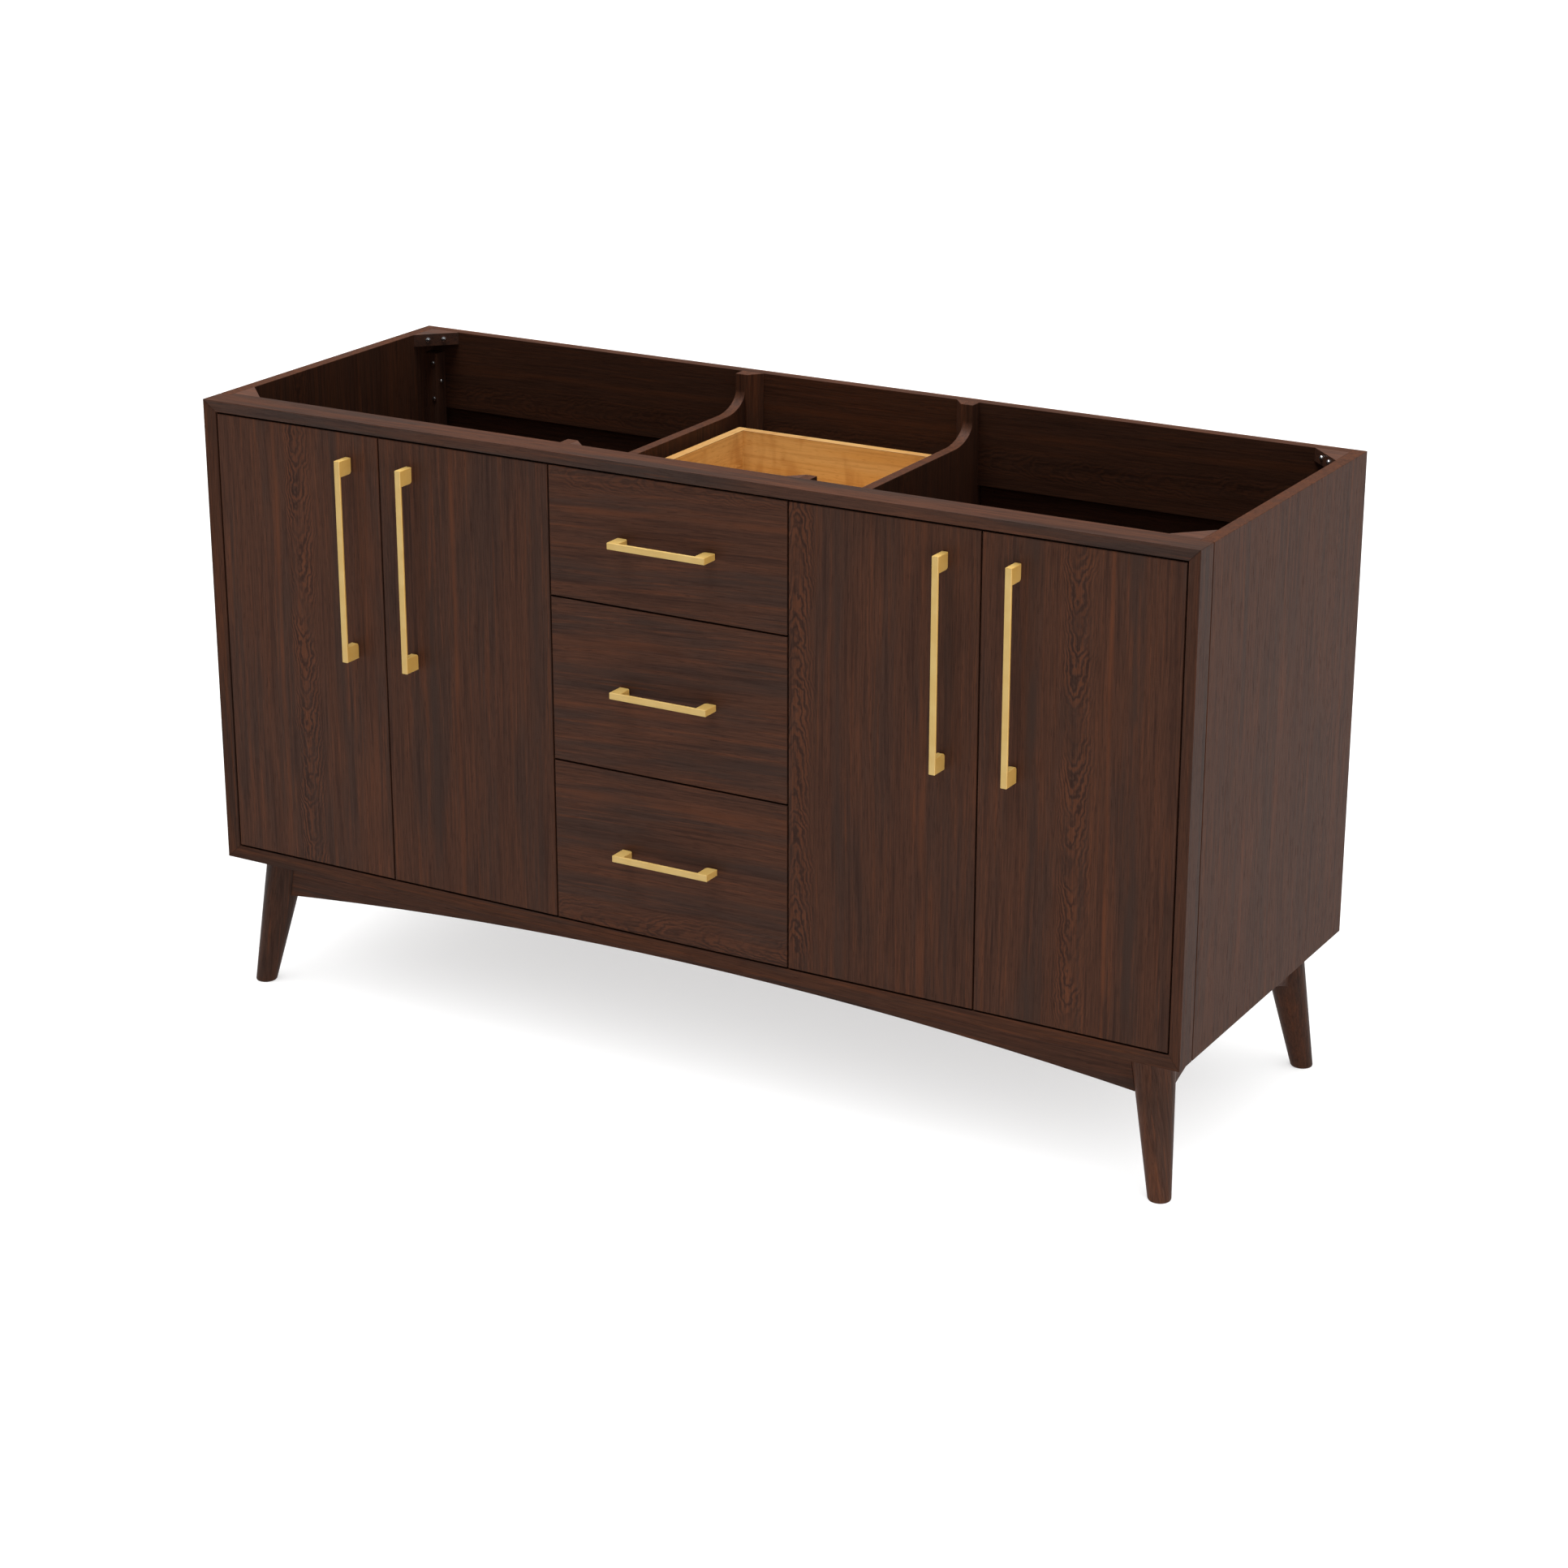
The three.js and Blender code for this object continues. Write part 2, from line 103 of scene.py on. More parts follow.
# ------------------------------------------------------------------ node helper
class Graph:
    """Adds nodes to a tree and joins them. A value is a number, a tuple or another node's output."""

    def __init__(self, tree):
        self.tree = tree

    def feed(self, socket, value):
        if isinstance(value, bpy.types.NodeSocket):
            self.tree.links.new(value, socket)
        else:
            socket.default_value = value

    def node(self, kind, inputs=None, **settings):
        made = self.tree.nodes.new(kind)
        for key, value in settings.items():
            setattr(made, key, value)
        for key, value in (inputs or {}).items():
            self.feed(made.inputs[key], value)
        return made

    def math(self, operation, a, b=0.0):
        return self.node("ShaderNodeMath", {0: a, 1: b}, operation=operation).outputs[0]

    def add(self, a, b):
        return self.math("ADD", a, b)

    def minus(self, a, b):
        return self.math("SUBTRACT", a, b)

    def times(self, a, b):
        return self.math("MULTIPLY", a, b)

    def scaled(self, vector, by):
        return self.node("ShaderNodeVectorMath", {0: vector, 1: by}, operation="MULTIPLY").outputs[0]

    def parts(self, vector):
        return self.node("ShaderNodeSeparateXYZ", {0: vector}).outputs

    def joined(self, x, y, z):
        return self.node("ShaderNodeCombineXYZ", {0: x, 1: y, 2: z}).outputs[0]

    def noise(self, vector, scale=1.0, detail=2.0, rough=0.5):
        sockets = {"Vector": vector, "Scale": scale, "Detail": detail, "Roughness": rough}
        return self.node("ShaderNodeTexNoise", sockets).outputs[0]

    def ramp(self, value, low, high, out_low=0.0, out_high=1.0):
        sockets = {"Value": value, "From Min": low, "From Max": high, "To Min": out_low, "To Max": out_high}
        return self.node("ShaderNodeMapRange", sockets, interpolation_type="SMOOTHSTEP").outputs[0]

    def mix(self, share, a, b, blend="MIX"):
        """Sockets 6 and 7 are the colour inputs of a mix node, and output 2 is its colour."""
        made = self.node("ShaderNodeMix", {0: share, 6: a, 7: b}, data_type="RGBA", blend_type=blend)
        return made.outputs[2]

    def mix_vectors(self, share, a, b):
        """Sockets 4 and 5 are the vector inputs of a mix node, and output 1 is its vector."""
        return self.node("ShaderNodeMix", {0: share, 4: a, 5: b}, data_type="VECTOR").outputs[1]

    def darkened(self, colour, shade):
        return self.mix(1.0, colour, self.joined(shade, shade, shade), blend="MULTIPLY")

    def toned(self, colour, tone):
        return self.mix(1.0, colour, (tone, tone, tone, 1), blend="MULTIPLY")

    def bump(self, height, strength, distance):
        sockets = {"Height": height, "Strength": strength, "Distance": distance}
        return self.node("ShaderNodeBump", sockets).outputs[0]

    def place(self):
        return self.node("ShaderNodeTexCoord").outputs["Object"]


def new_material(name):
    material = bpy.data.materials.new(name)
    material.use_nodes = True
    return material, Graph(material.node_tree), material.node_tree.nodes["Principled BSDF"]


def new_object(name, data):
    made = bpy.data.objects.new(name, data)
    bpy.context.scene.collection.objects.link(made)
    return made


# ------------------------------------------------------------------ walnut
def walnut_group():
    """Grain in its own space: x across the board from the figure's centre line, y through it, z along it."""
    tree = bpy.data.node_groups.new("walnut_grain", "ShaderNodeTree")
    number, colour_kind, vector_kind = "NodeSocketFloat", "NodeSocketColor", "NodeSocketVector"
    for side, sockets in (
        ("INPUT", (("Vector", vector_kind), ("Seed", number), ("Figure", number), ("Grey", number))),
        ("OUTPUT", (("Color", colour_kind), ("Across", number), ("Height", number), ("Roughness", number))),
    ):
        for name, kind in sockets:
            tree.interface.new_socket(name, in_out=side, socket_type=kind)
    g = Graph(tree)
    entry = g.node("NodeGroupInput").outputs
    exit_node = g.node("NodeGroupOutput")
    seed = entry["Seed"]

    away = g.joined(g.times(seed, 1.7), g.times(seed, 2.3), g.times(seed, 3.1))
    seeded = g.node("ShaderNodeVectorMath", {0: away, 1: entry["Vector"]}, operation="ADD").outputs[0]
    slow = g.minus(g.noise(g.scaled(seeded, (5, 5, 1.8)), detail=1), 0.5)
    quick = g.minus(g.noise(g.scaled(seeded, (24, 24, 7)), detail=1), 0.5)
    wander = g.add(g.times(slow, 0.012), g.times(quick, 0.0026))
    across, through, along = g.parts(seeded)
    grain = g.joined(g.add(across, wander), through, along)

    # From broad bands to fibres and open pores, each finer than the one before.
    bands = g.noise(g.scaled(grain, (26, 26, 3.2)), detail=3, rough=0.55)
    streaks = g.noise(g.scaled(grain, (84, 84, 3.4)), detail=3, rough=0.6)
    threads = g.noise(g.scaled(grain, (240, 240, 6)), detail=2, rough=0.6)
    fibres = g.noise(g.scaled(grain, (620, 620, 18)), detail=2, rough=0.65)
    pores = g.ramp(g.noise(g.scaled(grain, (1250, 1250, 55)), detail=0), 0.60, 0.72)

    colour = g.mix(g.times(g.ramp(bands, 0.44, 0.64), entry["Grey"]), BROWN, GREY_BROWN)
    colour = g.mix(g.ramp(streaks, 0.54, 0.74, 0, 0.46), colour, RED_BROWN)
    colour = g.mix(g.ramp(threads, 0.52, 0.74, 0, 0.52), colour, RED_BROWN)
    colour = g.mix(g.ramp(streaks, 0.46, 0.28, 0, 0.36), colour, DARK_BROWN)
    colour = g.mix(g.ramp(threads, 0.47, 0.30, 0, 0.50), colour, DARK_BROWN)

    # Flame figure: nested V shapes that repeat along the board, dark lines with redder wood between them,
    # fanning out into fine slanting lines further on one side of the centre line than on the other.
    place, _, run = g.parts(entry["Vector"])
    sway = g.minus(g.noise(g.joined(0.0, seed, g.times(run, 7)), detail=2), 0.5)
    offset = g.add(g.add(place, g.times(sway, 0.020)), g.times(wander, 0.5))
    steep = g.minus(1.2, g.times(g.math("SIGN", offset), 0.2))
    fan = g.times(g.math("ABSOLUTE", offset), steep)
    rise = g.add(g.times(fan, 1.2), g.times(g.times(fan, fan), 95))
    ruffle = g.noise(g.joined(g.times(place, 110), seed, g.times(run, 55)), detail=2, rough=0.6)
    uneven = g.noise(g.joined(0.5, seed, g.times(run, 24)), detail=2)
    phase = g.math("DIVIDE", g.minus(run, rise), 0.0290)
    phase = g.add(phase, g.add(g.times(ruffle, 2.0), g.times(uneven, 4.2)))
    wave = g.math("SINE", g.times(phase, 2 * math.pi))
    near = g.ramp(fan, 0.012, 0.038, 1.0, 0.0)
    cloud = g.noise(g.joined(g.times(place, 30), seed, g.times(run, 12)), detail=1)
    patches = g.ramp(cloud, 0.36, 0.60, 0.25)
    figure = g.times(g.times(near, patches), entry["Figure"])
    colour = g.mix(g.times(figure, g.ramp(wave, 0.1, -0.8, 0, 0.66)), colour, RED_BROWN)
    figure = g.times(figure, g.ramp(wave, 0.2, 0.9))
    colour = g.mix(g.times(figure, 0.66), colour, DARK_BROWN)

    colour = g.darkened(colour, g.add(g.times(fibres, 0.90), 0.55))
    colour = g.mix(g.times(pores, 0.42), colour, DARK_BROWN)

    height = g.minus(g.times(fibres, 0.5), g.add(g.times(pores, 0.8), g.times(figure, 0.15)))
    roughness = g.add(g.add(g.times(fibres, 0.14), g.times(pores, 0.12)), 0.36)
    g.feed(exit_node.inputs["Color"], colour)
    g.feed(exit_node.inputs["Across"], g.add(place, wander))
    g.feed(exit_node.inputs["Height"], height)
    g.feed(exit_node.inputs["Roughness"], roughness)
    return tree


WALNUT = walnut_group()


def third_axis(along, across):
    return next(axis for axis in AXES if axis not in (along, across))


def walnut(name, along, across, centre, seed, figure, grey, value, lean, bands, gloss):
    """A walnut board's material. centre is the figure's place on the across axis, and bands are
    (place, half width, colour, strength) in metres on that axis. A negative figure points the other way."""
    material, g, shader = new_material("walnut_" + name)
    by_axis = dict(zip(AXES, g.parts(g.place())))
    a = g.add(by_axis[across], -centre)
    a = g.add(a, g.times(by_axis[along], -lean))
    run = g.times(by_axis[along], -1.0 if figure < 0 else 1.0)
    vector = g.joined(a, by_axis[third_axis(along, across)], run)
    group_inputs = {"Vector": vector, "Seed": seed, "Figure": abs(figure), "Grey": grey}
    grain = g.node("ShaderNodeGroup", node_tree=WALNUT)
    for key, value_in in group_inputs.items():
        g.feed(grain.inputs[key], value_in)
    colour = grain.outputs["Color"]
    for number, (place, half, tint, strength) in enumerate(bands):
        away = g.math("ABSOLUTE", g.add(grain.outputs["Across"], centre - place))
        patch = g.noise(g.scaled(vector, (60, 60, 8)), scale=1 + 0.1 * number, detail=3)
        amount = g.times(g.ramp(away, 0.0, half, strength, 0.0), g.ramp(patch, 0.32, 0.66, 0.15, 1.0))
        colour = g.mix(amount, colour, tint)
    g.feed(shader.inputs["Base Color"], g.toned(colour, value))
    g.feed(shader.inputs["Roughness"], grain.outputs["Roughness"])
    g.feed(shader.inputs["Normal"], g.bump(grain.outputs["Height"], 0.35, 0.00025))
    shader.inputs["Specular IOR Level"].default_value = gloss
    return material


# ------------------------------------------------------------------ maple, brass, steel
def maple(name, along, across, seed, splits=None, rim=None, tone=1.0, mottle=0.46):
    """Pale drawer timber. splits is the half inner width beyond which the grain runs front to back,
    and rim is the height above which the up-facing rim is painted darker: painted shade."""
    material, g, shader = new_material("maple_" + name)
    by_axis = dict(zip(AXES, g.parts(g.place())))
    third = third_axis(along, across)
    vector = g.joined(g.add(by_axis[across], seed), by_axis[third], by_axis[along])
    if splits is not None:
        side_seed = seed + 5
        side = g.joined(g.add(by_axis["z"], side_seed), by_axis["x"], by_axis["y"])
        is_side = g.math("GREATER_THAN", g.math("ABSOLUTE", by_axis["x"]), splits)
        vector = g.mix_vectors(is_side, vector, side)
    drift = g.minus(g.noise(g.scaled(vector, (7, 7, 2.2)), detail=1), 0.5)
    x, y, z = g.parts(vector)
    grain = g.joined(g.add(x, g.times(drift, 0.03)), y, z)
    soft = g.noise(g.scaled(grain, (26, 26, 2.5)), detail=3)
    lines = g.noise(g.scaled(grain, (210, 210, 6)), detail=2, rough=0.6)
    flecks = g.ramp(g.noise(g.scaled(grain, (900, 900, 90)), detail=0), 0.64, 0.74)
    patches = g.noise(g.scaled(grain, (12, 12, 36)), detail=2)
    colour = g.mix(g.ramp(soft, 0.38, 0.62), MAPLE_PALE, MAPLE)
    colour = g.mix(g.ramp(patches, 0.48, 0.72, 0, mottle), colour, MAPLE_DARK)
    colour = g.mix(g.ramp(lines, 0.47, 0.68, 0, 0.32), colour, MAPLE_DARK)
    colour = g.mix(g.times(flecks, 0.35), colour, MAPLE_DARK)
    colour = g.toned(colour, tone)
    if rim is not None:
        # Painted shade: the up-facing rim of the box is multiplied darker to tone down how brightly the
        # overhead light falls on it.
        is_rim = g.math("GREATER_THAN", by_axis["z"], rim)
        colour = g.mix(is_rim, colour, RIM_PAINTED_SHADE, blend="MULTIPLY")
    g.feed(shader.inputs["Base Color"], colour)
    g.feed(shader.inputs["Roughness"], g.add(g.times(lines, 0.2), 0.38))
    g.feed(shader.inputs["Normal"], g.bump(g.minus(lines, flecks), 0.15, 0.0002))
    shader.inputs["Specular IOR Level"].default_value = 0.35
    return material


def metal(name, base, pale, rough, along, brush=900.0, metallic=1.0):
    """Satin metal with fine brushing along one axis and a slow uneven tone."""
    material, g, shader = new_material(name)
    point = g.place()
    stretch = tuple(18.0 if axis == along else brush for axis in AXES)
    strokes = g.noise(g.scaled(point, stretch), detail=2, rough=0.6)
    cloud = g.noise(point, scale=35, detail=2)
    colour = g.mix(g.ramp(cloud, 0.35, 0.7), base, pale)
    colour = g.darkened(colour, g.add(g.times(strokes, 0.16), 0.92))
    g.feed(shader.inputs["Base Color"], colour)
    g.feed(shader.inputs["Roughness"], g.add(g.times(strokes, 0.16), rough - 0.08))
    g.feed(shader.inputs["Normal"], g.bump(strokes, 0.06, 0.0001))
    shader.inputs["Metallic"].default_value = metallic
    return material


def painted_shade_metal():
    """Painted shade: near-black metal laid where the hollow of a screw's recess or a hinge cup falls in
    shade.
    """
    material, g, shader = new_material("recess_painted_shade")
    cloud = g.noise(g.place(), scale=300, detail=2)
    g.feed(shader.inputs["Base Color"], g.mix(cloud, RECESS_SHADE_DEEP, RECESS_SHADE_PALE))
    shader.inputs["Roughness"].default_value = 0.5
    shader.inputs["Metallic"].default_value = 0.8
    return material


BRASS_UPRIGHT = metal("brass_upright", BRASS, BRASS_PALE, 0.45, "z", metallic=0.22)
BRASS_LEVEL = metal("brass_level", BRASS, BRASS_PALE, 0.45, "x", metallic=0.22)
ZINC = metal("zinc_plated_steel", STEEL, STEEL_DULL, 0.30, "y", brush=420.0)
NICKEL = metal("nickel_screw", STEEL, STEEL, 0.22, "z", brush=300.0)
RECESS = painted_shade_metal()
HARDWARE = [ZINC, NICKEL, RECESS]
IN_ZINC, IN_NICKEL, IN_RECESS = 0, 1, 2

# ------------------------------------------------------------------ boards
RED, GREY, DARK = RED_BROWN, GREY_BROWN, DARK_BROWN
# node: (grain axis, across axis, figure's share of the width, figure, greyness, tone, lean, bands as
# (share of the width, half width in mm, colour, strength))
BOARDS = {
    "door_1": ("z", "x", 0.48, 1.0, 0.7, 0.92, 0.0, (
        (0.35, 7, RED, 0.7), (0.72, 16, GREY, 0.6), (0.92, 12, RED, 0.3))),
    "door_2": ("z", "x", 1.60, 0.0, 0.6, 0.84, 0.0, (
        (0.28, 14, GREY, 0.8), (0.43, 6, RED, 0.8), (0.90, 16, GREY, 0.7))),
    "door_3": ("z", "x", 0.035, -1.0, 0.5, 0.825, 0.0, (
        (0.27, 12, GREY, 0.7), (0.72, 9, RED, 0.7), (0.85, 13, GREY, 0.6))),
    "door_4": ("z", "x", 0.48, 0.95, 0.6, 0.865, 0.0, (
        (0.27, 16, GREY, 0.95), (0.655, 5, RED, 1.0), (0.78, 20, GREY, 0.9), (0.97, 9, DARK, 0.5))),
    "drawer_front_top": ("x", "z", 0.97, 0.5, 0.8, 0.86, 0.05, (
        (0.72, 8, RED, 0.6), (0.30, 12, GREY, 0.8))),
    "drawer_front_middle": ("x", "z", -0.4, 0.0, 0.9, 0.88, 0.05, (
        (0.80, 10, RED, 0.5), (0.62, 14, GREY, 0.8), (0.38, 9, RED, 0.6), (0.15, 14, GREY, 0.7))),
    "drawer_front_bottom": ("x", "z", 0.05, 0.7, 0.8, 0.88, 0.04, (
        (0.84, 12, RED, 0.6), (0.55, 16, GREY, 0.8), (0.30, 14, GREY, 0.6))),
    "frame_top_rail": ("x", "z", 3.0, 0.0, 1.0, 0.81, 0.0, ()),
    "frame_bottom_rail": ("x", "z", -3.0, 0.0, 0.9, 0.74, 0.0, ()),
    "frame_stile_left": ("z", "x", -3.0, 0.0, 0.75, 0.81, 0.0, ()),
    "frame_stile_right": ("z", "x", 4.0, 0.0, 0.75, 0.81, 0.0, ()),
    "side_panel_left": ("z", "y", 0.30, 0.5, 0.35, 0.92, 0.0, (
        (0.55, 14, GREY, 0.7), (0.75, 6, RED, 0.5))),
    "side_panel_right": ("z", "y", 0.82, 0.35, 0.35, 0.92, 0.0, (
        (0.22, 10, GREY, 0.7), (0.42, 9, GREY, 0.7), (0.47, 4, RED, 0.6), (0.90, 4, RED, 0.5))),
    "back_rail": ("x", "z", 0.25, 0.5, 0.2, 0.76, 0.02, ((0.62, 9, RED, 0.6),)),
    # back_panel's tone of 1.20 is painted light: the panel is made lighter to stand in for light that does
    # not reach into the bays.
    "back_panel": ("x", "z", 0.35, 0.4, 0.3, 1.20, 0.0, ((0.2, 20, GREY, 0.6), (0.6, 12, RED, 0.5))),
    "bottom_panel": ("x", "y", 0.55, 0.5, 0.6, 0.86, 0.0, ((0.3, 14, RED, 0.5),)),
    "partition_left": ("z", "y", 0.45, 0.4, 0.3, 0.86, 0.0, ((0.2, 10, RED, 0.4),)),
    "partition_right": ("z", "y", 0.55, 0.4, 0.3, 0.86, 0.0, ((0.7, 10, RED, 0.4),)),
    "apron_front": ("x", "z", -2.0, 0.0, 0.8, 0.85, 0.0, ()),
    "apron_rear": ("x", "z", -2.5, 0.0, 0.8, 0.85, 0.0, ()),
    "apron_side_left": ("y", "z", -2.0, 0.0, 0.8, 0.85, 0.0, ()),
    "apron_side_right": ("y", "z", -2.0, 0.0, 0.8, 0.85, 0.0, ()),
    # The leg tones are painted light and shade: the front left leg, which stands in shade, is toned darker
    # and the front right leg lighter, as shaded and lit copies of one wood.
    "leg_front_left": ("z", "x", 0.9, 0.5, 0.9, 0.80, 0.15, ()),
    "leg_front_right": ("z", "x", 0.2, 0.5, 0.9, 1.20, -0.15, ()),
    "leg_rear_left": ("z", "x", 0.8, 0.4, 0.9, 0.80, 0.15, ()),
    "leg_rear_right": ("z", "x", 0.1, 0.4, 0.9, 0.80, -0.15, ()),
}
BLOCK_LOOK = ("x", "y", 2.0, 0.0, 0.9, 1.03, 0.0, ())
POST_LOOK = ("z", "x", 2.0, 0.0, 0.4, 1.0, 0.0, ())
for name in nodes:
    if name.startswith(("corner_block", "partition_block")):
        BOARDS[name] = BLOCK_LOOK
    elif name.startswith(("corner_post", "partition_post")):
        BOARDS[name] = POST_LOOK

DRAWERS = ("top", "middle", "bottom")
FIRST_BOX_SEED = 60
BOTTOM_SEED_STEP = 10
BOX_WALL = 14.5 * MM
PAINTED_RIM_DEPTH = 0.9 * MM
BOX_TONE = 1.06
BOTTOM_TONE, BOTTOM_MOTTLE = 0.64, 0.2


def set_material(node, material):
    node.data.materials.clear()
    node.data.materials.append(material)


def gloss_of(name):
    return next((gloss for start, gloss in GLOSS_BY_START if name.startswith(start)), WALNUT_GLOSS)


for seed, (name, look) in enumerate(sorted(BOARDS.items()), start=1):
    along, across, share, figure, grey, value, lean, bands = look
    low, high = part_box(name)
    axis = AXES.index(across)
    span = high[axis] - low[axis]
    placed = [(low[axis] + s * span, half * MM, tint, strength) for s, half, tint, strength in bands]
    centre = low[axis] + share * span
    tone = WALNUT_TONE * value
    board = walnut(name, along, across, centre, seed, figure, grey, tone, lean, placed, gloss_of(name))
    set_material(nodes[name], board)
for seed, name in enumerate(DRAWERS, start=FIRST_BOX_SEED):
    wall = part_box(f"drawer_box_{name}")[1].x - BOX_WALL
    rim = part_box(f"drawer_box_{name}")[1].z - PAINTED_RIM_DEPTH
    box = maple(f"box_{name}", "x", "z", seed, splits=wall, rim=rim, tone=BOX_TONE)
    bottom_seed = seed + BOTTOM_SEED_STEP
    bottom = maple(f"bottom_{name}", "y", "x", bottom_seed, tone=BOTTOM_TONE, mottle=BOTTOM_MOTTLE)
    set_material(nodes[f"drawer_box_{name}"], box)
    set_material(nodes[f"drawer_bottom_{name}"], bottom)
    set_material(nodes[f"drawer_pull_{name}"], BRASS_LEVEL)
for number in range(1, 5):
    set_material(nodes[f"door_pull_{number}"], BRASS_UPRIGHT)

BOARD_ROUND = 0.5 * MM
BOX_ROUND = 0.8 * MM


def soften(node, width):
    """Rounds the arrises by modifiers, so the CAD vertices stay where they are."""
    weld = node.modifiers.new("weld", "WELD")
    weld.merge_threshold = 1e-5
    bevel = node.modifiers.new("round", "BEVEL")
    bevel.width = width
    bevel.segments = 2
    bevel.limit_method = "ANGLE"
    bevel.angle_limit = math.radians(40)
    bevel.use_clamp_overlap = True
    weighted = node.modifiers.new("even", "WEIGHTED_NORMAL")
    weighted.keep_sharp = False
    for face in node.data.polygons:
        face.use_smooth = True


for name, node in nodes.items():
    if name in BOARDS and not name.startswith(("leg", "door", "drawer_front")):
        soften(node, BOARD_ROUND)
    elif name.startswith("drawer_box"):
        soften(node, BOX_ROUND)


# ------------------------------------------------------------------ hardware
LATHE_STEPS = 28


class Shape:
    """One mesh put together from several closed bodies, each with its own hardware finish."""

    def __init__(self, name):
        self.name = name
        self.mesh = bmesh.new()

    def take(self, part, material=IN_ZINC, matrix=None):
        if matrix is not None:
            part.transform(matrix)
        for face in part.faces:
            face.material_index = material
            face.smooth = True
        scratch = bpy.data.meshes.new("scratch")
        part.to_mesh(scratch)
        part.free()
        self.mesh.from_mesh(scratch)
        bpy.data.meshes.remove(scratch)

    def block(self, low, high, material=IN_ZINC, round_by=0.0003, matrix=None):
        part = bmesh.new()
        bmesh.ops.create_cube(part, size=1)
        size = Vector(high) - Vector(low)
        middle = (Vector(high) + Vector(low)) / 2
        bmesh.ops.scale(part, vec=size, verts=part.verts)
        bmesh.ops.translate(part, vec=middle, verts=part.verts)
        if round_by:
            edges = part.edges[:]
            bmesh.ops.bevel(part, geom=edges, offset=round_by, segments=2, affect="EDGES", profile=0.5)
        self.take(part, material, matrix)

    def turned(self, profile, matrix, material=IN_ZINC):
        """Lathe: profile is (radius, height) pairs from the axis to the axis, about matrix's Z."""
        part = bmesh.new()
        rings = []
        angles = [2 * math.pi * i / LATHE_STEPS for i in range(LATHE_STEPS)]
        for radius, height in profile:
            if radius == 0:
                rings.append([part.verts.new((0, 0, height))])
            else:
                rings.append([
                    part.verts.new((radius * math.cos(angle), radius * math.sin(angle), height))
                    for angle in angles
                ])
        for one, two in zip(rings, rings[1:]):
            for i in range(LATHE_STEPS):
                j = (i + 1) % LATHE_STEPS
                corners = [one[i % len(one)], one[j % len(one)], two[j % len(two)], two[i % len(two)]]
                kept = list(dict.fromkeys(corners))
                if len(kept) > 2:
                    part.faces.new(kept)
        bmesh.ops.recalc_face_normals(part, faces=part.faces[:])
        self.take(part, material, matrix)

    def strip(self, outline, start, end, to_point):
        """A profile of (a, b) points pushed from start to end; to_point places (a, b, run)."""
        part = bmesh.new()
        ends = [[part.verts.new(to_point(a, b, run)) for a, b in outline] for run in (start, end)]
        count = len(outline)
        for i in range(count):
            j = (i + 1) % count
            part.faces.new((ends[0][i], ends[0][j], ends[1][j], ends[1][i]))
        part.faces.new(ends[0][::-1])
        part.faces.new(ends[1])
        bmesh.ops.recalc_face_normals(part, faces=part.faces[:])
        self.take(part)

    def screw(self, place, facing, radius, turn):
        """A pan head with a cross recess, seen from facing. The recess is a near-black cross laid on the
        head: painted shade, not a hollow.
        """
        z = Vector(facing).normalized()
        side = z.orthogonal().normalized()
        matrix = Matrix.Translation(place) @ Matrix((side, z.cross(side), z)).transposed().to_4x4()
        matrix = matrix @ Matrix.Rotation(turn, 4, "Z")
        r = radius
        head = [(0, -0.2 * r), (r, -0.2 * r), (r, 0.12 * r), (0.93 * r, 0.30 * r), (0.72 * r, 0.44 * r),
                (0.4 * r, 0.52 * r), (0, 0.54 * r)]
        self.turned(head, matrix, IN_NICKEL)
        for quarter in (0, math.pi / 2):
            arm = matrix @ Matrix.Rotation(quarter, 4, "Z")
            low, high = (-0.56 * r, -0.11 * r, 0.38 * r), (0.56 * r, 0.11 * r, 0.565 * r)
            self.block(low, high, IN_RECESS, 0.0, arm)

    def finish(self, body):
        data = bpy.data.meshes.new(self.name)
        self.mesh.to_mesh(data)
        self.mesh.free()
        for material in HARDWARE:
            data.materials.append(material)
        made = new_object(self.name, data)
        edges = made.modifiers.new("edges", "EDGE_SPLIT")
        edges.split_angle = math.radians(35)
        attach(made, body)
        return made


side_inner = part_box("side_panel_right")[0].x
part_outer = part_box("partition_right")[1].x
part_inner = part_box("partition_right")[0].x
top_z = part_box("back_rail")[1].z

# Concealed cup hinges: cup and ears on the door, plate, arm and link on the case.
HINGE_IN = 21.5 * MM
HINGE_FROM_END = 92 * MM
TOP_HINGE_ABOVE = 0.5
EAR_IN = 5.5 * MM
EAR_UP = 22.5 * MM
EAR_TOP = 1.2 * MM
PLATE_TOP = 2.2 * MM
ARM_TOP = 10.5 * MM
PLATE_SCREW_BEHIND = 42 * MM
PLATE_SCREW_UP = 16.5 * MM
CUP_PROFILE = [(0, -0.0004), (0.0175, -0.0004), (0.0175, 0.0007), (0.0171, 0.0011), (0.0158, 0.0013),
               (0.0150, 0.0006), (0.0146, 0.0004), (0, 0.0004)]
CUP_FLOOR = [(0, 0.0001), (0.0143, 0.0001), (0.0143, 0.00048), (0, 0.00048)]
EAR_PROFILE = [(0, -0.0003), (0.0072, -0.0003), (0.0072, 0.0009), (0.0066, EAR_TOP), (0, EAR_TOP)]


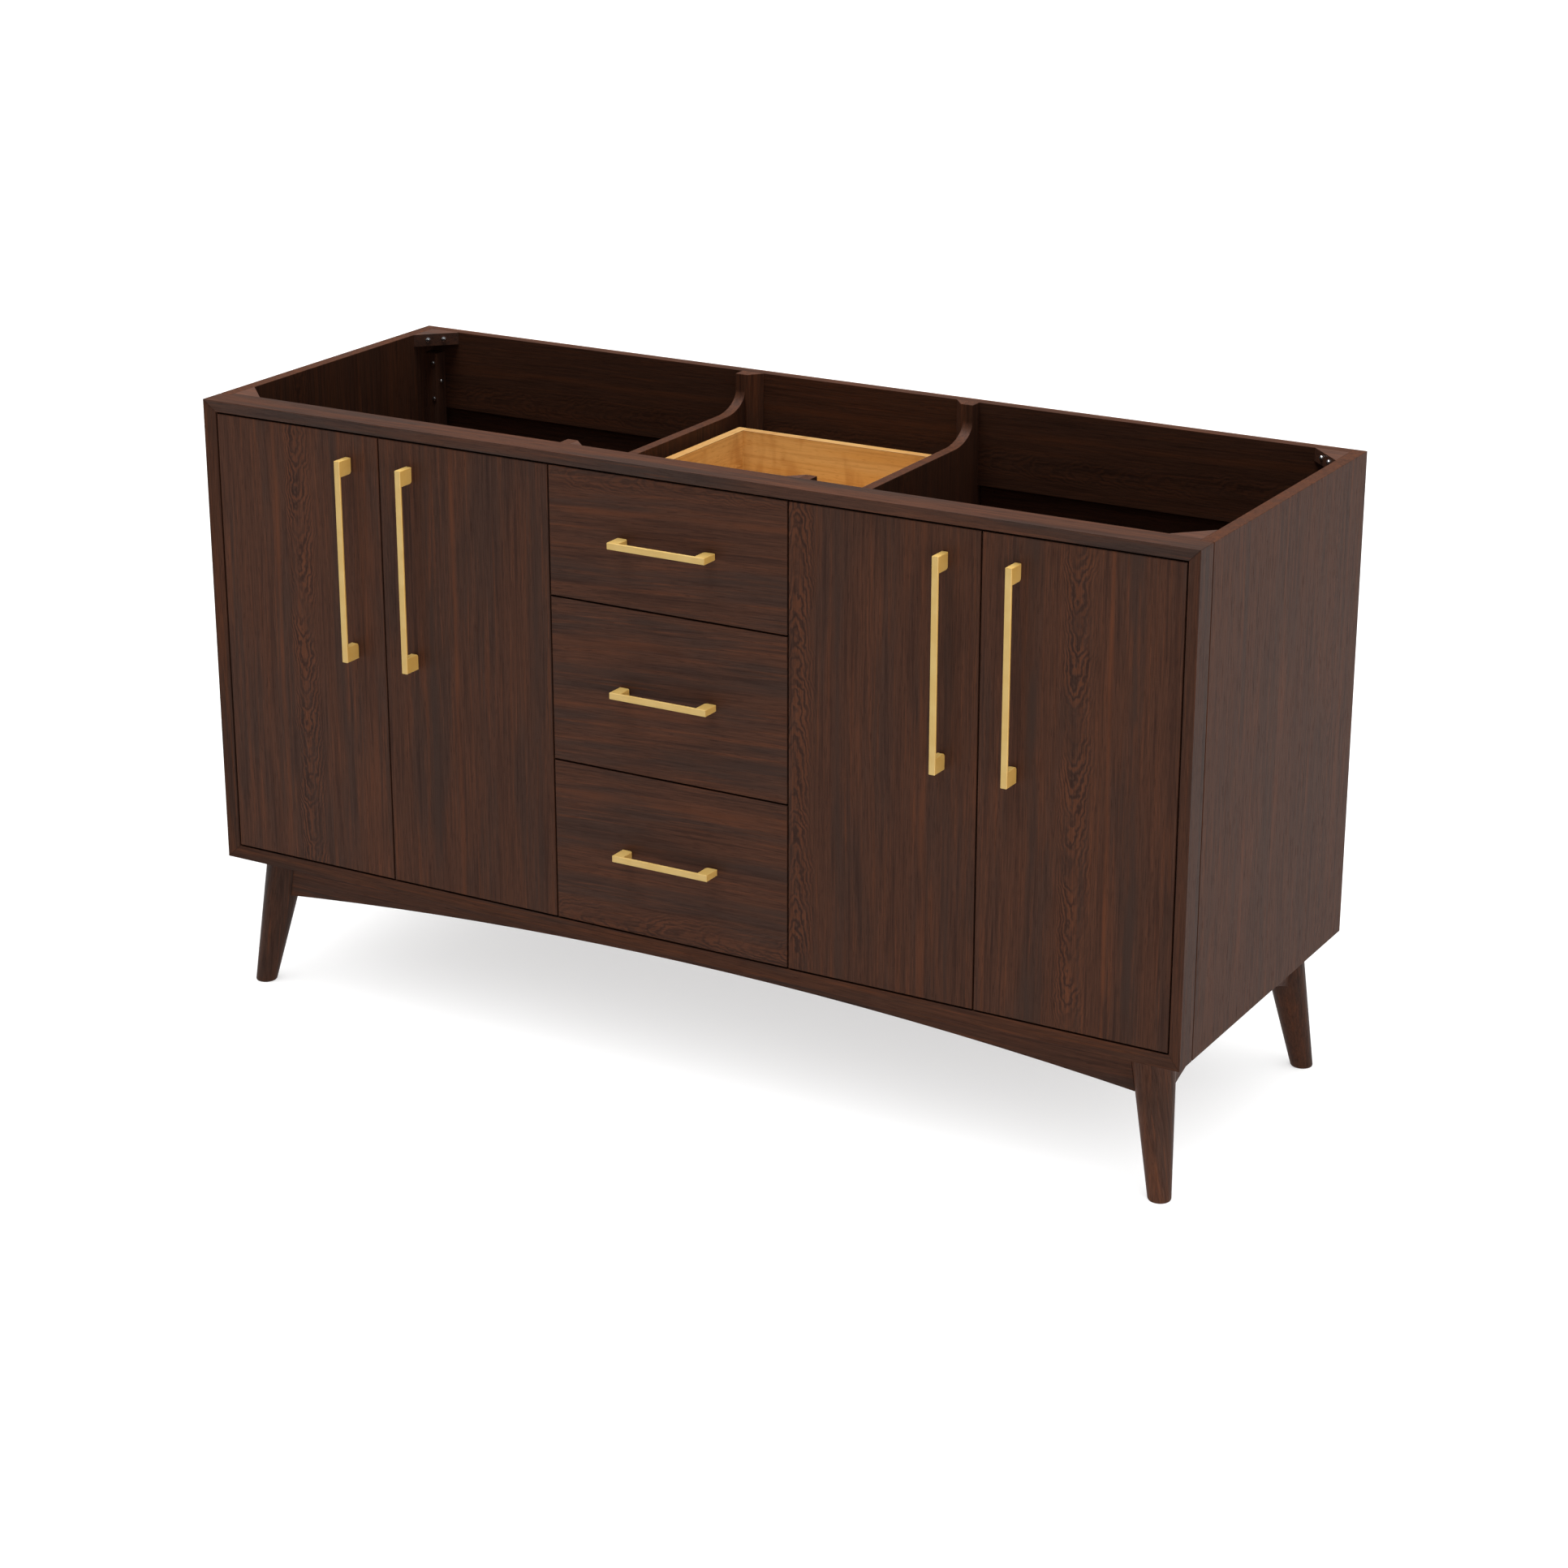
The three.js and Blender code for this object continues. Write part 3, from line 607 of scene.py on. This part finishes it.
def hinge(number, z, door_edge_x, wall_x, into):
    """into is +1 where the cup lies to the right of the door's hinged edge."""
    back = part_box(f"door_{number}")[1].y
    tag = f"{number}_{'top' if z > TOP_HINGE_ABOVE else 'bottom'}"
    cup_x = door_edge_x + into * HINGE_IN
    cup_reach = abs(cup_x - wall_x)
    quarter_turn = Matrix.Rotation(math.radians(-90), 4, "X")
    cup = Shape(f"hinge_cup_{tag}")
    to_back = Matrix.Translation((cup_x, back, z)) @ quarter_turn
    cup.turned(CUP_PROFILE, to_back)
    # The cup's floor is a near-black disc: painted shade for the inside of the cup.
    cup.turned(CUP_FLOOR, to_back, IN_RECESS)
    for up in (-1, 1):
        ear_x, ear_z = cup_x + into * EAR_IN, z + up * EAR_UP
        cup.turned(EAR_PROFILE, Matrix.Translation((ear_x, back, ear_z)) @ quarter_turn)
        cup.screw((ear_x, back + EAR_TOP, ear_z), (0, 1, 0), 0.0037, 0.4 * up)
    cup.finish(f"door_{number}_body")

    arm = Shape(f"hinge_arm_{tag}")

    def body(x, y, z_span, round_by=0.0006):
        """A block given by its spans: x off the wall, y behind the door's back, z about the hinge."""
        ends = (wall_x + into * x[0], wall_x + into * x[1])
        low = (min(ends), back + y[0], z + z_span[0])
        high = (max(ends), back + y[1], z + z_span[1])
        arm.block(low, high, IN_ZINC, round_by)

    body((0.0, PLATE_TOP), (0.0270, 0.0570), (-0.0240, 0.0240))
    body((PLATE_TOP, 0.0062), (0.0200, 0.0600), (-0.0075, 0.0075))
    body((0.0062, ARM_TOP), (0.0090, 0.0640), (-0.0062, 0.0062))
    body((0.0078, cup_reach + 0.0035), (0.0048, 0.0125), (-0.0058, 0.0058))
    for link in (-0.0054, 0.0038):
        body((cup_reach - 0.0080, cup_reach + 0.0030), (-0.0095, 0.0080), (link, link + 0.0016), 0.0004)
    facing = (into, 0, 0)
    for behind, head in ((0.0260, 0.0030), (0.0480, 0.0036)):
        arm.screw((wall_x + into * ARM_TOP, back + behind, z), facing, head, 0.7)
    for up in (-1, 1):
        place = (wall_x + into * PLATE_TOP, back + PLATE_SCREW_BEHIND, z + up * PLATE_SCREW_UP)
        arm.screw(place, facing, 0.0040, 0.2 * up)
    arm.finish("case")


# door: (x of the wall its hinges are fixed to, direction from its hinged edge into the door)
HINGE_WALLS = {1: (-side_inner, 1), 2: (-part_outer, -1), 3: (part_outer, 1), 4: (side_inner, -1)}
for number, (wall, into) in HINGE_WALLS.items():
    low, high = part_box(f"door_{number}")
    edge_x = low.x if into > 0 else high.x
    for level in (low.z + HINGE_FROM_END, high.z - HINGE_FROM_END):
        hinge(number, level, edge_x, wall, into)

# Pull screws on the backs of the doors.
SCREW_PROUD = 0.8 * MM
PULL_SCREW_HEAD = 4.6 * MM
PULL_SCREW_IN = 11.3 * MM
for number in range(1, 5):
    low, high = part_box(f"door_pull_{number}")
    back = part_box(f"door_{number}")[1].y
    screws = Shape(f"pull_screws_door_{number}")
    for z in (low.z + PULL_SCREW_IN, high.z - PULL_SCREW_IN):
        screws.screw(((low.x + high.x) / 2, back + SCREW_PROUD, z), (0, 1, 0), PULL_SCREW_HEAD, 0.5)
    screws.finish(f"door_{number}_body")

# Drawer slides: a folded channel and a middle member on the case, and an inner member on the drawer box.
SLIDE_WEB = 1.5 * MM
SLIDE_LIP = 4.5 * MM
MEMBER_IN = 4.6 * MM
MEMBER_GAP = 0.4 * MM
MEMBER_FACE, MEMBER_FOLD = 1.2 * MM, 2.6 * MM
MEMBER_BEND = 1.8 * MM
MEMBER_START, MEMBER_END = 4 * MM, 6 * MM
MEMBER_SCREW_OUT = 1.6 * MM
INNER_IN = 10.5 * MM
INNER_WEB = 1.2 * MM
INNER_STEP = 2.0 * MM
INNER_CLEARANCE = 0.5 * MM
INNER_START, INNER_END = 3 * MM, 4 * MM
INNER_SCREW_HEAD = 3.4 * MM
CASE_SCREW_HEAD = 3.6 * MM


def channel_outline(back, wall, fold, face, bottom, top):
    """A C section: back to wall is the web, fold to face is the lips' thickness."""
    web = SLIDE_WEB
    return [(back, bottom), (face, bottom), (face, bottom + SLIDE_LIP), (fold, bottom + SLIDE_LIP),
            (fold, bottom + web), (wall, bottom + web), (wall, top - web), (fold, top - web),
            (fold, top - SLIDE_LIP), (face, top - SLIDE_LIP), (face, top), (back, top)]


def inner_outline(deep, bottom, top):
    """The drawer's member: a shallow channel whose thicker middle rests on the box."""
    t, step = INNER_WEB, INNER_STEP
    return [(0, bottom + step), (t, bottom + step), (t, bottom), (deep, bottom), (deep, bottom + t),
            (2 * t, bottom + t), (2 * t, top - t), (deep, top - t), (deep, top), (t, top),
            (t, top - step), (0, top - step)]


def slide(name, side, sign):
    front_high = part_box(f"drawer_front_{name}")[1]
    box_low, box_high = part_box(f"drawer_box_{name}")
    node = f"runner_{name}_{side}"
    low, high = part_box(node)
    outer, inner = sign * max(abs(low.x), abs(high.x)), sign * min(abs(low.x), abs(high.x))
    depth = abs(outer - inner)
    middle_z = (low.z + high.z) / 2

    def off_wall(a, b, run):
        return outer - sign * a, run, b

    channel = Shape(f"slide_case_{name}_{side}")
    case_part = channel_outline(0, SLIDE_WEB, depth - SLIDE_WEB, depth, low.z, high.z)
    channel.strip(case_part, low.y, high.y, off_wall)
    start = SLIDE_WEB + MEMBER_GAP
    member_part = channel_outline(start, SLIDE_WEB + MEMBER_BEND, depth - MEMBER_FOLD, depth - MEMBER_FACE,
                                  low.z + MEMBER_IN, high.z - MEMBER_IN)
    channel.strip(member_part, low.y + MEMBER_START, high.y - MEMBER_END, off_wall)
    screw_x = outer - sign * (SLIDE_WEB + MEMBER_SCREW_OUT)
    for share in (0.10, 0.45, 0.85):
        y = low.y + share * (high.y - low.y)
        channel.screw((screw_x, y, middle_z), (-sign, 0, 0), CASE_SCREW_HEAD, share)
    made = channel.finish("case")
    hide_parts(node)

    face_x = sign * box_high.x
    deep = abs(inner) - abs(face_x) - INNER_CLEARANCE
    bottom, top = low.z + INNER_IN, high.z - INNER_IN

    def off_box(a, b, run):
        return face_x + sign * a, run, b

    member = Shape(f"slide_drawer_{name}_{side}")
    outline = inner_outline(deep, bottom, top)
    member.strip(outline, front_high.y + INNER_START, box_high.y - INNER_END, off_box)
    screw_x = face_x + sign * 2 * INNER_WEB
    for share in (0.08, 0.5, 0.9):
        y = box_low.y + share * (box_high.y - box_low.y)
        member.screw((screw_x, y, (bottom + top) / 2), (sign, 0, 0), INNER_SCREW_HEAD, share)
    member.finish(f"drawer_{name}")


# Screws through the box into each drawer front: two for the pull, four near the corners.
PULL_SCREW_X = 67 * MM
FRONT_SCREW_X = 122 * MM
FRONT_SCREW_HEAD = 4.2 * MM
FRONT_SCREW_UP, FRONT_SCREW_DOWN = 32 * MM, 22 * MM
for name in DRAWERS:
    front_low, front_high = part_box(f"drawer_front_{name}")
    box_low, box_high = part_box(f"drawer_box_{name}")
    screw_y = front_high.y + BOX_WALL + SCREW_PROUD
    middle_z = (front_low.z + front_high.z) / 2
    screws = Shape(f"front_screws_{name}")
    for x in (-PULL_SCREW_X, PULL_SCREW_X):
        screws.screw((x, screw_y, middle_z), (0, 1, 0), PULL_SCREW_HEAD, 0.9)
    for x in (-FRONT_SCREW_X, FRONT_SCREW_X):
        for z in (box_low.z + FRONT_SCREW_UP, box_high.z - FRONT_SCREW_DOWN):
            screws.screw((x, screw_y, z), (0, 1, 0), FRONT_SCREW_HEAD, 0.2 + 3 * x)
    screws.finish(f"drawer_{name}")
    for side, sign in (("left", -1), ("right", 1)):
        slide(name, side, sign)

# Screws in the corner blocks and corner posts.
BLOCK_SCREW_DOWN = 8.8 * MM
BLOCK_SCREW_HEAD = 3.8 * MM
HEAD_OUT = 0.6 * MM
POST_SCREW_SIDE, POST_SCREW_BACK = 6.9 * MM, 10.7 * MM


def block_screws(where, side, sign, shares):
    """Two pocket screws on the slanted face of a corner block, which runs from the side to a rail."""
    low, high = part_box(f"corner_block_{where}_{side}")
    near_y, far_y, out_y = (low.y, high.y, -1) if where == "rear" else (high.y, low.y, 1)
    z = top_z - BLOCK_SCREW_DOWN
    wall_end = Vector((sign * side_inner, near_y, z))
    rail_end = Vector((low.x if sign > 0 else high.x, far_y, z))
    out = Vector((-sign, out_y, 0)).normalized()
    made = Shape(f"block_screws_{where}_{side}")
    for share in shares:
        made.screw(wall_end.lerp(rail_end, share) + HEAD_OUT * out, out, BLOCK_SCREW_HEAD, share)
    made.finish("case")


for side, sign in (("left", -1), ("right", 1)):
    block_screws("rear", side, sign, (0.315, 0.66))
    block_screws("front", side, sign, (0.33, 0.67))

    post = Shape(f"post_screws_{side}")
    low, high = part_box(f"corner_post_{side}")
    inner_x = low.x if sign > 0 else high.x
    for down in (0.0153, 0.0707, 0.3200, 0.5600):
        place = (inner_x + sign * POST_SCREW_SIDE, low.y - HEAD_OUT, high.z - down)
        post.screw(place, (0, -1, 0), CASE_SCREW_HEAD, 9 * down)
    for down in (0.0446, 0.2400, 0.4800):
        place = (inner_x - sign * HEAD_OUT, low.y + POST_SCREW_BACK, high.z - down)
        post.screw(place, (-sign, 0, 0), CASE_SCREW_HEAD, 9 * down)
    post.finish("case")

# Screws around the back panel and down its lines over the partitions.
COLUMNS, ROWS = 9, 4
SIDE_IN, END_IN, FOOT_IN, HEAD_IN, PARTITION_IN = 12 * MM, 10 * MM, 10 * MM, 14 * MM, 8 * MM
panel_low, panel_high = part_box("back_panel")
panel_screws = Shape("back_panel_screws")
screw_y = panel_high.y - 0.5 * MM
for i in range(COLUMNS):
    x = panel_low.x + SIDE_IN + (panel_high.x - panel_low.x - 2 * SIDE_IN) * i / (COLUMNS - 1)
    for z in (panel_low.z + FOOT_IN, panel_high.z - HEAD_IN):
        panel_screws.screw((x, screw_y, z), (0, 1, 0), CASE_SCREW_HEAD, 1.3 * i)
for i in range(1, ROWS):
    z = panel_low.z + (panel_high.z - panel_low.z) * i / ROWS
    over_partition = part_inner + PARTITION_IN
    for x in (panel_low.x + END_IN, -over_partition, over_partition, panel_high.x - END_IN):
        panel_screws.screw((x, screw_y, z), (0, 1, 0), CASE_SCREW_HEAD, 2.1 * i)
panel_screws.finish("case")


# ------------------------------------------------------------------ floor, light, camera
FLOOR_HALF = 60.0
SOFTBOX_SIZE = (2.6, 1.6)
SOFTBOX_PLACE = (3.9, -2.3, 0.9)
SOFTBOX_AIM = Vector((0, 0, 0.5))
CAMERA_PLACE = (2.3677, -4.0378, 2.0681)
CAMERA_TILT, CAMERA_TURN = 70.05, 30.06
CAMERA_LENS = 80.79


def pale_floor():
    half = FLOOR_HALF
    mesh = bpy.data.meshes.new("floor")
    corners = [(-half, -half, 0), (half, -half, 0), (half, half, 0), (-half, half, 0)]
    mesh.from_pydata(corners, [], [(0, 1, 2, 3)])
    floor = new_object("floor", mesh)
    material, g, shader = new_material("pale_floor")
    g.feed(shader.inputs["Base Color"], g.mix(g.noise(g.place(), scale=3), FLOOR_DARK, FLOOR_LIGHT))
    shader.inputs["Roughness"].default_value = 0.9
    shader.inputs["Specular IOR Level"].default_value = 0.0
    shader.inputs["Emission Color"].default_value = (1, 1, 1, 1)
    shader.inputs["Emission Strength"].default_value = TABLE_GLOW
    mesh.materials.append(material)
    floor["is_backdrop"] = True
    return floor


def white_room():
    """The world: full white where the camera looks past the floor, and a weaker glow on the object."""
    world = bpy.data.worlds.new("studio")
    world.use_nodes = True
    bpy.context.scene.world = world
    g = Graph(world.node_tree)
    sky = world.node_tree.nodes["Background"]
    seen = g.node("ShaderNodeLightPath").outputs["Is Camera Ray"]
    g.feed(sky.inputs["Strength"], g.add(g.times(seen, 1 - ROOM_GLOW), ROOM_GLOW))
    sky.inputs["Color"].default_value = (1, 1, 1, 1)


def sky_lamp(name, energy, angle, forward, right, receivers):
    """A sun as wide as angle, in degrees, leaned forward and right. It lights the receivers only."""
    data = bpy.data.lights.new(name, "SUN")
    data.energy = energy
    data.angle = math.radians(angle)
    lamp = new_object(name, data)
    lamp.rotation_euler = (math.radians(forward), math.radians(right), 0)
    lamp.light_linking.receiver_collection = receivers
    return lamp


def group_of(name, members):
    made = bpy.data.collections.new(name)
    for member in members:
        made.objects.link(member)
    return made


def studio():
    floor = pale_floor()
    white_room()

    # The floor has a dome light of its own, so its shadow is soft, and the overhead light leaves it out.
    only_table = group_of("table_only", [floor])
    sky_lamp("table_dome", TABLE_DOME, 150, 36, 12, only_table)
    not_table = group_of("not_table", [floor])
    not_table.collection_objects[0].light_linking.link_state = "EXCLUDE"
    sky_lamp("overhead", OVERHEAD, 46, 0, -4, not_table)

    # A warm card stands to the right of the pulls, for the sides of their feet.
    pulls = group_of("pulls_only", [node for name, node in nodes.items() if "pull" in name])
    card = sky_lamp("warm_card", PULL_GLOW, 60, 0, 70, pulls)
    card.data.color = CARD_WARMTH

    box = bpy.data.lights.new("side_softbox", "AREA")
    box.shape = "RECTANGLE"
    box.size, box.size_y = SOFTBOX_SIZE
    box.energy = SIDE_BOX
    lamp = new_object("side_softbox", box)
    lamp.location = SOFTBOX_PLACE
    lamp.rotation_euler = (SOFTBOX_AIM - lamp.location).to_track_quat("-Z", "Y").to_euler()
    view = bpy.context.scene.view_settings
    view.view_transform = "Standard"
    view.look = "None"


def camera():
    data = bpy.data.cameras.new("camera")
    data.sensor_width = 36
    data.lens = CAMERA_LENS
    data.clip_end = 200
    cam = new_object("camera", data)
    cam.location = CAMERA_PLACE
    cam.rotation_euler = (math.radians(CAMERA_TILT), 0, math.radians(CAMERA_TURN))
    bpy.context.scene.camera = cam


studio()
camera()
low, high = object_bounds()
